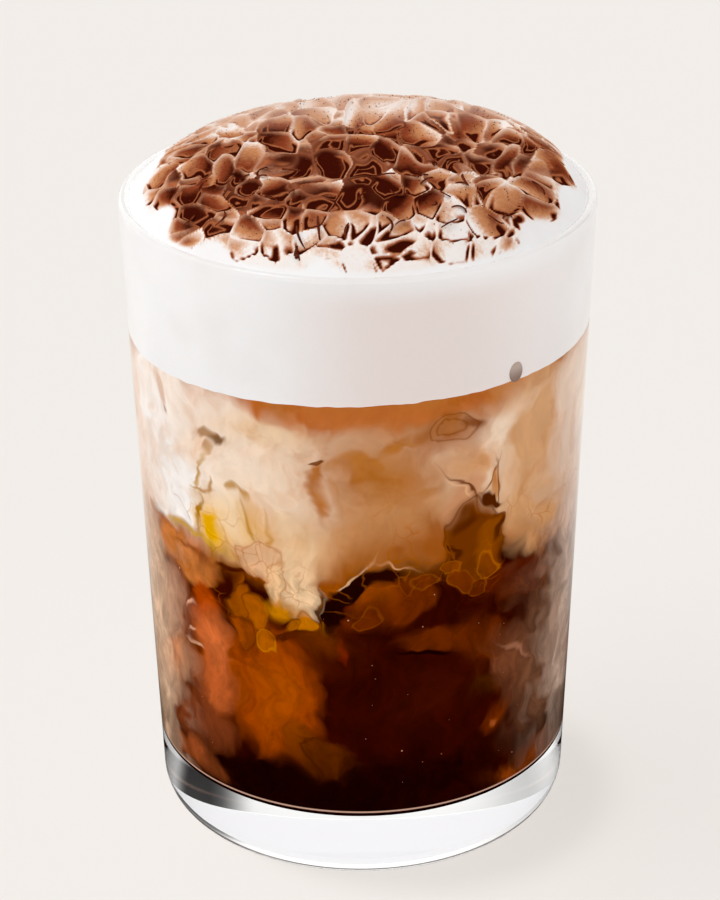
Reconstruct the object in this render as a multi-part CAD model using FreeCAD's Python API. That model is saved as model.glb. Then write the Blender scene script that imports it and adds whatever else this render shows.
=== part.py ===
"""Cold brew coffee in a clear tumbler, under a piled cap of cream foam.

The drink is four solids, each a node of its own: the glass, the black cold brew at its bottom, the milky
coffee whose lobes sink into the brew, and the cream foam that stands proud of the rim. The contents fill
the same cavity that hollows the glass, so every neighbour meets the next face to face.

Millimetres, +Z up. The origin is the middle of the foot, on the table. The drink's front faces -Y, and an
azimuth is counted from the front towards +X.
"""

import FreeCAD
import Part

import math
import os

# The tumbler: a straight taper from the foot up to the rim, with a heavy base.
HEIGHT = 114.0
RIM_RADIUS = 40.0
FOOT_RADIUS = 36.0  # where the line of the outer wall meets the table
RIM_WALL = 1.8
FOOT_WALL = 2.4
BASE_THICKNESS = 12.0
FOOT_ROUND = 5.5
FLOOR_ROUND = 5.0  # the inner corner between the wall and the floor
LIP_ROUND_SHARE = 0.45  # of the wall at the rim, so the lip stays a little flat on top

# Levels of the layers inside, at the axis.
MILK_LEVEL = 60.0
FOAM_LEVEL = 91.8
FOAM_TILT = 0.8  # how much higher the foam's underside is at +X than at the axis
FOAM_RIPPLE = 0.3

# The foam's cap above the glass: a full-shouldered mound, whose crown is nearer the front.
CAP_EDGE_DROP = 1.0  # the mound starts this far under the rim, where the lip's rounding ends
CAP_RISE = 10.4
CAP_FULLNESS = 5.5  # the power of the cap's profile: 2 is a parabola, and more has a flatter top
CROWN_OFFSET = (-1.5, -5.0)  # of the mound's middle, along X and Y
CAP_SKEW = 0.17  # the share by which the +X shoulder stands higher than the middle
CAP_SOLVER_ROUNDS = 12

# Low swells on the cap: azimuth in degrees, distance from the axis, height and width.
CAP_SWELLS = [
    (-125.0, 15.0, 0.5, 8.0),
    (-70.0, 22.0, -0.4, 7.0),
    (-20.0, 18.0, 0.45, 8.0),
    (30.0, 9.0, -0.5, 7.0),
    (75.0, 22.0, 0.4, 8.0),
    (140.0, 21.0, 0.6, 7.0),
    (170.0, 10.0, -0.3, 7.0),
]

# Where the milk sinks into the brew beside the wall: azimuth in degrees, depth and width.
# A negative depth is a dome of brew that stands up into the milk.
MILK_LOBES = [
    (-82.0, 9.0, 12.0),
    (-50.0, 1.5, 9.0),
    (-29.0, -2.5, 6.0),
    (-12.0, 15.0, 7.5),
    (6.0, -5.0, 8.0),
    (33.0, -13.0, 8.5),
    (58.0, 16.0, 10.5),
    (92.0, -6.0, 11.0),
    (122.0, 12.0, 11.0),
    (152.0, -8.0, 10.0),
    (-178.0, 16.0, 10.0),
    (-148.0, -7.0, 10.0),
    (-116.0, 6.0, 11.0),
]

FIELD_STEPS = 32  # the wavy surfaces pass through a square grid of this many spans
FIELD_MARGIN = 3.0  # and reach this far past the rim

AXIS = FreeCAD.Vector(0, 0, 1)
ORIGIN = FreeCAD.Vector(0, 0, 0)


def outer_radius(z):
    """The glass's outer radius at a height, before its foot and lip are rounded."""
    return FOOT_RADIUS + (RIM_RADIUS - FOOT_RADIUS) * z / HEIGHT


def inner_radius(z):
    """The cavity's radius at a height, before its corner is rounded."""
    return outer_radius(z) - FOOT_WALL - (RIM_WALL - FOOT_WALL) * z / HEIGHT


def cap_edge():
    """The height at which the mound leaves the wall."""
    return HEIGHT - CAP_EDGE_DROP


def at_azimuth(azimuth, distance):
    """The point (x, y) at an azimuth in degrees and a distance from the axis."""
    turn = math.radians(azimuth)
    return distance * math.sin(turn), -distance * math.cos(turn)


def swell(x, y, middle, width):
    """A round bump of height 1 at the middle, seen at (x, y)."""
    away = math.hypot(x - middle[0], y - middle[1])
    return math.exp(-((away / width) ** 2))


def in_profile(r, z):
    return FreeCAD.Vector(r, 0, z)


def rounded_edges(corners):
    """Edges along corners (r, z, radius), with each corner that has a radius turned into a tangent arc."""
    edges = []
    here = in_profile(*corners[0][:2])
    for before, corner, after in zip(corners, corners[1:], corners[2:]):
        point = in_profile(*corner[:2])
        radius = corner[2]
        if not radius:
            edges.append(Part.LineSegment(here, point).toShape())
            here = point
            continue
        back = (in_profile(*before[:2]) - point).normalize()
        ahead = (in_profile(*after[:2]) - point).normalize()
        half_angle = back.getAngle(ahead) / 2
        tangent_length = radius / math.tan(half_angle)
        start = point + back * tangent_length
        end = point + ahead * tangent_length
        bisector = (back + ahead).normalize()
        middle = point + bisector * (radius / math.sin(half_angle) - radius)
        edges.append(Part.LineSegment(here, start).toShape())
        edges.append(Part.Arc(start, middle, end).toShape())
        here = end
    edges.append(Part.LineSegment(here, in_profile(*corners[-1][:2])).toShape())
    return edges


def revolved(edges):
    """The solid that a profile sweeps round the Z axis. The profile starts and ends on the axis."""
    start = edges[0].Vertexes[0].Point
    end = edges[-1].Vertexes[-1].Point
    closing = Part.LineSegment(end, start).toShape()
    face = Part.Face(Part.Wire(edges + [closing]))
    return face.revolve(ORIGIN, AXIS, 360)


def glass_tumbler():
    lip_round = LIP_ROUND_SHARE * RIM_WALL
    return revolved(
        rounded_edges(
            [
                (0, 0, 0),
                (FOOT_RADIUS, 0, FOOT_ROUND),
                (RIM_RADIUS, HEIGHT, lip_round),
                (inner_radius(HEIGHT), HEIGHT, lip_round),
                (inner_radius(BASE_THICKNESS), BASE_THICKNESS, FLOOR_ROUND),
                (0, BASE_THICKNESS, 0),
            ]
        )
    )


def cavity(top):
    """The inside of the glass, from its floor up to a height, with the wall's line carried on past the rim."""
    return revolved(
        rounded_edges(
            [
                (0, BASE_THICKNESS, 0),
                (inner_radius(BASE_THICKNESS), BASE_THICKNESS, FLOOR_ROUND),
                (inner_radius(top), top, 0),
                (0, top, 0),
            ]
        )
    )


def milk_underside(x, y):
    """The height of the surface where the milk meets the brew."""
    wall = inner_radius(MILK_LEVEL)
    return MILK_LEVEL - sum(
        depth * swell(x, y, at_azimuth(azimuth, wall), width) for azimuth, depth, width in MILK_LOBES
    )


def foam_underside(x, y):
    """The height of the foam's lower face: tilted a little, with one slow ripple."""
    wall = inner_radius(FOAM_LEVEL)
    return FOAM_LEVEL + FOAM_TILT * x / wall + FOAM_RIPPLE * math.sin(math.pi * y / wall)


def foam_top(x, y):
    """The height of the mound. Its level lines are circles that drift from the rim's middle to the crown."""
    edge_r = inner_radius(cap_edge())
    out = math.hypot(x, y) / edge_r
    for _ in range(CAP_SOLVER_ROUNDS):
        drift = max(0.0, 1 - out**2)
        out = math.hypot(x - CROWN_OFFSET[0] * drift, y - CROWN_OFFSET[1] * drift) / edge_r
    rise = CAP_RISE * (1 - out**CAP_FULLNESS) * (1 + CAP_SKEW * x / edge_r)
    swells = sum(
        height * swell(x, y, at_azimuth(azimuth, distance), width)
        for azimuth, distance, height, width in CAP_SWELLS
    )
    return cap_edge() + rise + swells * max(0.0, 1 - out**2)


def space_above(height_at):
    """Everything over the surface z = height_at(x, y), up past the top of the foam."""
    reach = RIM_RADIUS + FIELD_MARGIN
    spots = [reach * (2 * i / FIELD_STEPS - 1) for i in range(FIELD_STEPS + 1)]
    surface = Part.BSplineSurface()
    surface.interpolate([[FreeCAD.Vector(x, y, height_at(x, y)) for y in spots] for x in spots])
    return surface.toShape().extrude(AXIS * (HEIGHT + CAP_RISE))


def only_solid(shape):
    """The one solid that a cut has left."""
    if len(shape.Solids) != 1:
        raise ValueError(f"{len(shape.Solids)} solids where one was expected")
    return shape.Solids[0]


def contents():
    """{node: solid} of the three layers, from the floor up."""
    over_milk_underside = space_above(milk_underside)
    over_foam_underside = space_above(foam_underside)
    over_foam_top = space_above(foam_top)
    inside = cavity(HEIGHT + 2 * CAP_RISE)
    return {
        "cold_brew": only_solid(inside.cut(over_milk_underside)),
        "milky_coffee": only_solid(inside.common(over_milk_underside).cut(over_foam_underside)),
        "cream_foam": only_solid(inside.common(over_foam_underside).cut(over_foam_top)),
    }


def main():
    os.makedirs("parts", exist_ok=True)
    nodes = {"glass_tumbler": glass_tumbler(), **contents()}
    for name, solid in nodes.items():
        if not solid.isValid():
            raise ValueError(f"{name} isn't a valid solid")
        solid.exportStep(f"parts/{name}.step")
        print(f"{name}: {solid.Volume / 1000:.1f} ml, {len(solid.Faces)} faces")


main()
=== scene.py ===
"""Cold brew coffee in a clear tumbler, with milk marbled into it and cocoa over its cap of cream foam.

Laid out as an add-on: property groups hold the sizes and colours, one operator makes each piece or group of
like pieces, and a panel lists them. Lengths are in metres, +Z is up, the front faces -Y, and an azimuth is
counted from the front towards +X.
"""

import math

import bpy
import numpy as np
from mathutils import Matrix, Vector
from mathutils.bvhtree import BVHTree


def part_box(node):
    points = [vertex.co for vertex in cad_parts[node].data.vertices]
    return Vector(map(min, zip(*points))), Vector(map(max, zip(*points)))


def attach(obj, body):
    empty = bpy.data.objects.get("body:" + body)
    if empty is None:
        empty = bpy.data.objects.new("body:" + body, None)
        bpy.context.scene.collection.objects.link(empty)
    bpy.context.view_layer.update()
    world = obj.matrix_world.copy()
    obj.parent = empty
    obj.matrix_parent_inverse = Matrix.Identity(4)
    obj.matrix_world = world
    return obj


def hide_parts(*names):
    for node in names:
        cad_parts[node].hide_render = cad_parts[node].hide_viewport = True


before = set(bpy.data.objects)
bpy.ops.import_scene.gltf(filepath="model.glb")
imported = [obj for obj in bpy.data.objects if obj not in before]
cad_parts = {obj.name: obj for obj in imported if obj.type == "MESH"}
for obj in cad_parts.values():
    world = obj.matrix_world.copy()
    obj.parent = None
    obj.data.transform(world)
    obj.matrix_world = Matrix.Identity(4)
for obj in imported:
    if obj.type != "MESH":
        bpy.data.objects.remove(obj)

bl_info = {
    "name": "Cold Brew Coffee",
    "version": (1, 0, 0),
    "blender": (4, 5, 0),
    "location": "3D View > Sidebar > Cold Brew",
    "description": "Makes a glass of cold brew coffee with marbled milk, cream foam and cocoa",
    "category": "Add Mesh",
}

MM = 0.001
BODY = "root"
TAU = 2 * math.pi
GLASS_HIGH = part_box("glass_tumbler")[1]
FOAM_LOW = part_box("cream_foam")[0]
FOAM_STEPS, FOAM_ROWS = 288, 11  # spans across the mound, and rings of points down its side
FOAM_EDGE_SHARE = 0.97  # of the mound's reach: past it the relief dies away
SHARP_ANGLE = math.radians(50)  # edges that turn by more than this aren't smoothed
GLASS_IOR, WATER_IOR = 1.5, 1.34
GLOW_BOUNCES = 2.5  # light that the glass has mirrored more often than this ends as a glow

# The wavy faces between the layers are read a little inside the wall, whose radius is taken at one height.
READ_HEIGHT = 70 * MM
READ_SHARE = 0.985
INWARD_TRIES = (1, 0.995, 0.99, 0.98, 0.97, 0.96, 0.95, 0.93)  # of the radius, where a face ends short of it


def tone(red, green, blue):
    """A colour given as a screen shows it, from 0 to 255, in the linear values that Blender works with."""
    shares = [c / 255 for c in (red, green, blue)]
    return tuple(s / 12.92 if s <= 0.04045 else ((s + 0.055) / 1.055) ** 2.4 for s in shares)


def opaque(colour):
    return (*colour[:3], 1.0)


# ---------------------------------------------------------------------------------------------------------
# Settings
# ---------------------------------------------------------------------------------------------------------


def length(name, description, default):
    return bpy.props.FloatProperty(
        name=name, description=description, default=default, unit="LENGTH", subtype="DISTANCE"
    )


def colour(name, description, default):
    return bpy.props.FloatVectorProperty(
        name=name, description=description, default=default, size=3, min=0, max=1, subtype="COLOR"
    )


def angle(name, description, degrees):
    return bpy.props.FloatProperty(
        name=name, description=description, default=math.radians(degrees), unit="ROTATION", subtype="ANGLE"
    )


def number(name, description, default):
    return bpy.props.FloatProperty(name=name, description=description, default=default)


def count(name, description, default):
    return bpy.props.IntProperty(name=name, description=description, default=default, min=0)


class GlassSettings(bpy.types.PropertyGroup):
    height: length("Height", "From the foot to the rim", GLASS_HIGH.z)
    rim_radius: length("Rim Radius", "Outer radius of the wall's line at the rim", 40 * MM)
    foot_radius: length("Foot Radius", "Outer radius where the wall's line meets the table", 36 * MM)
    rim_wall: length("Rim Wall", "Thickness of the wall at the rim", 1.8 * MM)
    foot_wall: length("Foot Wall", "Thickness of the wall at the foot", 2.4 * MM)
    base: length("Base", "Thickness of the solid base", 12 * MM)
    foot_round: length("Foot Rounding", "Radius between the foot and the wall", 5.5 * MM)
    floor_round: length("Floor Rounding", "Radius of the corner inside", 5 * MM)
    tint: colour("Tint", "Colour of the glass", tone(253, 254, 254))


class DrinkSettings(bpy.types.PropertyGroup):
    seat: length("Seat", "How far the drink reaches into the wall, so that no air shows", 0.3 * MM)
    bubbles: count("Bubbles", "How many small bubbles cling to the wall", 90)
    bubble: length("Bubble Radius", "Radius of the largest small bubble", 0.17 * MM)


class FoamSettings(bpy.types.PropertyGroup):
    edge_drop: length("Edge Drop", "How far under the rim the mound starts", 0.45 * MM)
    rise: length("Rise", "Height of the mound over its edge", 9.9 * MM)
    fullness: number("Fullness", "Power of the mound's profile", 5.5)
    skew: number("Skew", "Share by which the +X shoulder is higher", 0.17)
    crown: bpy.props.FloatVectorProperty(
        name="Crown", description="Offset of the mound's middle", default=(-1.5 * MM, -5 * MM), size=2,
        unit="LENGTH",
    )
    white: colour("Cream", "Colour of the foam", tone(250, 250, 252))


class CocoaSettings(bpy.types.PropertyGroup):
    cell: length("Cell", "Size of the cells in the crust", 4.6 * MM)
    ridge: length("Ridge", "Height of the ridges between the cells", 0.42 * MM)
    curls: count("Curls", "How many chocolate curls lie on the foam", 36)
    grains: count("Grains", "How many cocoa grains lie on the foam", 1400)
    dark: colour("Dark", "Deepest chocolate", tone(60, 14, 5))
    warm: colour("Warm", "Cocoa over foam", tone(136, 62, 34))
    tan: colour("Tan", "Thin cocoa over foam", tone(200, 136, 92))
    pale: colour("Pale", "Dusted foam", tone(243, 216, 196))


class StageSettings(bpy.types.PropertyGroup):
    floor_size: length("Floor Size", "Side of the floor", 12.0)
    floor_gap: length("Floor Gap", "Air between the foot and the floor", 0.05 * MM)
    distance: length("Distance", "From the camera to the point that it looks at", 500 * MM)
    aim_height: length("Aim Height", "Height of the point that the camera looks at", 65.7 * MM)
    elevation: angle("Elevation", "Of the camera over the horizon", 25.69)
    roll: angle("Roll", "Of the camera about its own axis", -0.53)
    lens: number("Lens", "Focal length in millimetres", 114.8)
    backdrop: colour("Backdrop", "Colour of the floor", tone(241, 237, 233))


# ---------------------------------------------------------------------------------------------------------
# Meshes
# ---------------------------------------------------------------------------------------------------------


def outer_radius(z):
    g = bpy.context.scene.cold_brew_glass
    return g.foot_radius + (g.rim_radius - g.foot_radius) * z / g.height


def inner_radius(z):
    g = bpy.context.scene.cold_brew_glass
    return outer_radius(z) - g.foot_wall - (g.rim_wall - g.foot_wall) * z / g.height


def piece(name, points, faces, material, slot, replaced=()):
    """A smooth mesh that rides on the glass's body and takes its finish from the material given; the slot is
    not used.
    """
    mesh = bpy.data.meshes.new(name)
    mesh.from_pydata(np.asarray(points).tolist(), [], [tuple(f) for f in faces])
    mesh.validate()
    mesh.shade_smooth()
    mesh.set_sharp_from_angle(angle=SHARP_ANGLE)
    mesh.materials.append(material)
    made = bpy.data.objects.new(name, mesh)
    bpy.context.scene.collection.objects.link(made)
    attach(made, BODY)
    if replaced:
        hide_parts(*replaced)
    return made


def rounded(corners, arc_steps=10):
    """Points (r, z) along corners (r, z, radius), with each corner that has a radius turned into an arc."""
    points = [np.array(corners[0][:2])]
    for before, here, after in zip(corners, corners[1:], corners[2:]):
        corner, radius = np.array(here[:2]), here[2]
        if not radius:
            points.append(corner)
            continue
        back = np.array(before[:2]) - corner
        ahead = np.array(after[:2]) - corner
        back /= np.linalg.norm(back)
        ahead /= np.linalg.norm(ahead)
        half = math.acos(back @ ahead) / 2
        bisector = (back + ahead) / np.linalg.norm(back + ahead)
        centre = corner + bisector * radius / math.sin(half)
        start = corner + back * radius / math.tan(half) - centre
        side = np.sign(start[0] * (corner - centre)[1] - start[1] * (corner - centre)[0])
        for i in range(arc_steps + 1):
            turn = side * (math.pi - 2 * half) * i / arc_steps
            c, s = math.cos(turn), math.sin(turn)
            points.append(centre + (c * start[0] - s * start[1], s * start[0] + c * start[1]))
    points.append(np.array(corners[-1][:2]))
    return np.array(points)


def split_runs(profile, longest):
    """The same profile with its long runs divided."""
    points = [profile[0]]
    for start, end in zip(profile, profile[1:]):
        parts = max(1, math.ceil(np.linalg.norm(end - start) / longest))
        points += [start + (end - start) * i / parts for i in range(1, parts + 1)]
    return np.array(points)


def ring_faces(first, second, segments):
    """Quads between two rings of points, given by the number of each ring's first point."""
    return [
        (first + i, first + (i + 1) % segments, second + (i + 1) % segments, second + i)
        for i in range(segments)
    ]


def fan_faces(centre, ring, segments, flip=False):
    """Triangles from a point to a ring."""
    faces = [(centre, ring + i, ring + (i + 1) % segments) for i in range(segments)]
    return [f[::-1] for f in faces] if flip else faces


def lathe(profile, segments):
    """Points and faces of a profile (r, z) turned about Z. It starts and ends on the axis."""
    turns = np.linspace(0, TAU, segments, endpoint=False)
    points = [(0, 0, profile[0][1])]
    for r, z in profile[1:-1]:
        points += [(r * math.sin(t), -r * math.cos(t), z) for t in turns]
    points.append((0, 0, profile[-1][1]))
    faces = fan_faces(0, 1, segments, flip=True)
    rings = len(profile) - 2
    for k in range(rings - 1):
        faces += ring_faces(1 + k * segments, 1 + (k + 1) * segments, segments)
    faces += fan_faces(len(points) - 1, 1 + (rings - 1) * segments, segments)
    return points, faces


def surface_of(node, upward):
    """A function (x, y) -> z of a node's top, or of its underside where upward."""
    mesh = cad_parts[node].data
    tree = BVHTree.FromPolygons([v.co for v in mesh.vertices], [p.vertices for p in mesh.polygons])
    start, way = (-1, 1) if upward else (1, -1)

    def height(x, y):
        for share in INWARD_TRIES:
            hit = tree.ray_cast(Vector((x * share, y * share, start)), Vector((0, 0, way)))[0]
            if hit is not None:
                return hit.z
        raise RuntimeError(f"{node} has no surface at ({x:.4f}, {y:.4f})")

    return height


def layer(low_profile, bottom, top, segments=384, rows=48, rings=24):
    """Points and faces of one layer of the drink.

    low_profile is the floor and its rounded corner as (r, z), or None where the layer lies on another.
    bottom and top are functions (x, y) -> z. The wall reaches into the glass by the drink's seat.
    """
    seat = bpy.context.scene.cold_brew_drink.seat
    turns = np.linspace(0, TAU, segments, endpoint=False)
    sines, cosines = np.sin(turns), -np.cos(turns)
    reach = inner_radius(READ_HEIGHT) * READ_SHARE
    points, faces, starts = [], [], []

    def heights_at(surface, r):
        return np.array([surface(r * s, r * c) for s, c in zip(sines, cosines)])

    def ring(radii, heights):
        starts.append(len(points))
        points.extend(zip(radii * sines, radii * cosines, heights))

    def flat_ring(surface, share):
        ring(np.full(segments, reach * share), heights_at(surface, reach * share))

    if low_profile is None:
        base = heights_at(bottom, reach)
        points.append((0, 0, bottom(0, 0)))
        for k in range(1, rings):
            flat_ring(bottom, k / rings)
    else:
        points.append((0, 0, low_profile[0][1]))
        for r, z in low_profile[1:]:
            ring(np.full(segments, r), np.full(segments, z))
        base = np.full(segments, low_profile[-1][1])
    crest = heights_at(top, reach)
    for k in range(0 if low_profile is None else 1, rows + 1):
        heights = base + (crest - base) * k / rows
        ring(inner_radius(heights) + seat, heights)
    for k in range(rings - 1, 0, -1):
        flat_ring(top, k / rings)
    points.append((0, 0, top(0, 0)))
    faces += fan_faces(0, starts[0], segments, flip=True)
    for first, second in zip(starts, starts[1:]):
        faces += ring_faces(first, second, segments)
    faces += fan_faces(len(points) - 1, starts[-1], segments)
    return points, faces


# ---------------------------------------------------------------------------------------------------------
# Node trees
# ---------------------------------------------------------------------------------------------------------


class Tree:
    """Adds nodes to a node tree. An input is a socket to link or a value to set."""

    def __init__(self, tree):
        self.tree = tree
        self.column = 0

    def add(self, kind, inputs=None, **settings):
        made = self.tree.nodes.new(kind)
        made.location = (220 * (self.column % 12), -260 * (self.column // 12))
        self.column += 1
        for key, value in settings.items():
            setattr(made, key, value)
        for key, value in (inputs or {}).items():
            socket = made.inputs[key]
            if isinstance(value, bpy.types.NodeSocket):
                self.link(value, socket)
            elif socket.type == "RGBA":
                socket.default_value = opaque(value)
            else:
                socket.default_value = value
        return made

    def math(self, operation, a, b=0.0, c=0.0, clamp=False):
        return self.add("ShaderNodeMath", {0: a, 1: b, 2: c}, operation=operation, use_clamp=clamp).outputs[0]

    def vector(self, operation, a, b=(0.0, 0.0, 0.0)):
        return self.add("ShaderNodeVectorMath", {0: a, 1: b}, operation=operation).outputs[0]

    def scaled(self, a, factor):
        return self.add("ShaderNodeVectorMath", {0: a, "Scale": factor}, operation="SCALE").outputs[0]

    def mix(self, factor, a, b, blend="MIX"):
        made = self.add("ShaderNodeMix", {0: factor}, data_type="RGBA", blend_type=blend)
        for index, value in ((6, a), (7, b)):
            if isinstance(value, bpy.types.NodeSocket):
                self.link(value, made.inputs[index])
            else:
                made.inputs[index].default_value = opaque(value)
        return made.outputs[2]

    def range(self, value, low, high, to_low=0.0, to_high=1.0):
        """A value's smooth step from low to high, which may also fall."""
        inputs = {"Value": value, "From Min": low, "From Max": high, "To Min": to_low, "To Max": to_high}
        return self.add("ShaderNodeMapRange", inputs, interpolation_type="SMOOTHSTEP", clamp=False).outputs[0]

    def noise(self, vector, scale, detail=2.0, roughness=0.5):
        """A noise texture, whose size is 1 / scale. Its outputs are Fac and Color."""
        inputs = {"Vector": vector, "Scale": scale, "Detail": detail, "Roughness": roughness}
        return self.add("ShaderNodeTexNoise", inputs).outputs

    def link(self, socket, target):
        self.tree.links.new(socket, target)


def new_group(name, inputs, outputs):
    """An empty shader node group: (its node tree, a Tree, its input node, its output node)."""
    group = bpy.data.node_groups.new(name, "ShaderNodeTree")
    kinds = {"value": "NodeSocketFloat", "vector": "NodeSocketVector", "colour": "NodeSocketColor"}
    for in_out, sockets in (("INPUT", inputs), ("OUTPUT", outputs)):
        for label, kind in sockets.items():
            group.interface.new_socket(label, in_out=in_out, socket_type=kinds[kind])
    tree = Tree(group)
    return group, tree, tree.add("NodeGroupInput"), tree.add("NodeGroupOutput")


def place(tree, group, inputs):
    """Puts a node group into a tree."""
    made = tree.add("ShaderNodeGroup", node_tree=group)
    for key, value in inputs.items():
        socket = made.inputs[key]
        if isinstance(value, bpy.types.NodeSocket):
            tree.link(value, socket)
        else:
            socket.default_value = value
    return made


def new_material(name):
    """A material with a Principled BSDF: (material, Tree, the shader node, the output node)."""
    material = bpy.data.materials.new(name)
    material.use_nodes = True
    nodes = material.node_tree.nodes
    return material, Tree(material.node_tree), nodes["Principled BSDF"], nodes["Material Output"]


def flow_group():
    """Where a point of the drink came from before it was stirred.

    It is laid flat: mm round the wall, and height in mm.
    """
    if "Stirred Flow" in bpy.data.node_groups:
        return bpy.data.node_groups["Stirred Flow"]
    group, tree, given, out = new_group(
        "Stirred Flow", {"Point": "vector", "Stir": "value"}, {"Flow": "vector", "Stirred Point": "vector"}
    )
    stirred = tree.scaled(given.outputs["Point"], 1 / MM)
    for size, strength in ((24, 2.4), (9.5, 2.6), (3.8, 1.5), (1.5, 0.5)):
        shift = tree.vector("SUBTRACT", tree.noise(stirred, 1 / size, 0.0)["Color"], (0.5, 0.5, 0.5))
        by = tree.math("MULTIPLY", given.outputs["Stir"], strength * 2)
        stirred = tree.vector("ADD", stirred, tree.scaled(shift, by))
    parts = tree.add("ShaderNodeSeparateXYZ", {0: stirred})
    turn = tree.math("ARCTAN2", parts.outputs["X"], tree.math("MULTIPLY", parts.outputs["Y"], -1.0))
    across = tree.math("MULTIPLY", turn, math.degrees(ROUND))
    flow = tree.add("ShaderNodeCombineXYZ", {"X": across, "Y": parts.outputs["Z"], "Z": 0.0}).outputs[0]
    tree.link(flow, out.inputs["Flow"])
    tree.link(stirred, out.inputs["Stirred Point"])
    return group


def plume_group():
    """A soft oval patch of milk or coffee, and the thin line round its edge."""
    if "Plume" in bpy.data.node_groups:
        return bpy.data.node_groups["Plume"]
    group, tree, given, out = new_group(
        "Plume",
        {
            "Flow": "vector", "Middle": "vector", "Turn": "vector", "Half Size": "vector",
            "Softness": "value", "Strength": "value", "Edge": "value", "Line": "value",
        },
        {"Mask": "value", "Rim": "value"},
    )
    g = given.outputs
    inside = tree.add(
        "ShaderNodeMapping",
        {
            "Vector": g["Flow"], "Location": g["Middle"], "Rotation": g["Turn"],
            "Scale": tree.scaled(g["Half Size"], 2.0),
        },
        vector_type="TEXTURE",
    )
    # a spherical gradient is 1 in the middle, 0.5 on the edge and 0 at twice the half size
    gradient = tree.add("ShaderNodeTexGradient", {"Vector": inside.outputs[0]}, gradient_type="SPHERICAL")
    near = gradient.outputs["Fac"]
    soft = tree.math("MULTIPLY", tree.math("MULTIPLY", g["Softness"], 0.5), g["Edge"])
    soft = tree.math("MINIMUM", soft, 0.5)
    mask = tree.range(near, tree.math("SUBTRACT", 0.5, soft), tree.math("ADD", 0.5, soft))
    tree.link(tree.math("MULTIPLY", mask, g["Strength"]), out.inputs["Mask"])
    off = tree.math("ABSOLUTE", tree.math("SUBTRACT", near, 0.5))
    tree.link(tree.range(off, tree.math("MULTIPLY", g["Line"], 0.5), 0.0), out.inputs["Rim"])
    return group


ROUND = 0.62  # mm round the wall for each degree

EDGE_LINE = 0.34  # half the width in mm of the thin line round some patches
CREAM, IVORY, PEACH, TAN = tone(252, 246, 242), tone(247, 224, 202), tone(214, 164, 122), tone(182, 120, 72)
OCHRE, AMBER, SALMON, MAUVE = tone(160, 92, 46), tone(146, 60, 10), tone(198, 110, 64), tone(132, 80, 60)
# REFLECTION_HAZE is a painted reflection: the pale haze that the glass mirrors over the right of the wall
RUST, MAHOGANY, REFLECTION_HAZE = tone(96, 34, 6), tone(74, 22, 6), tone(122, 86, 66)
ESPRESSO, BLACK = tone(48, 7, 2), tone(20, 1, 0)
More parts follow.
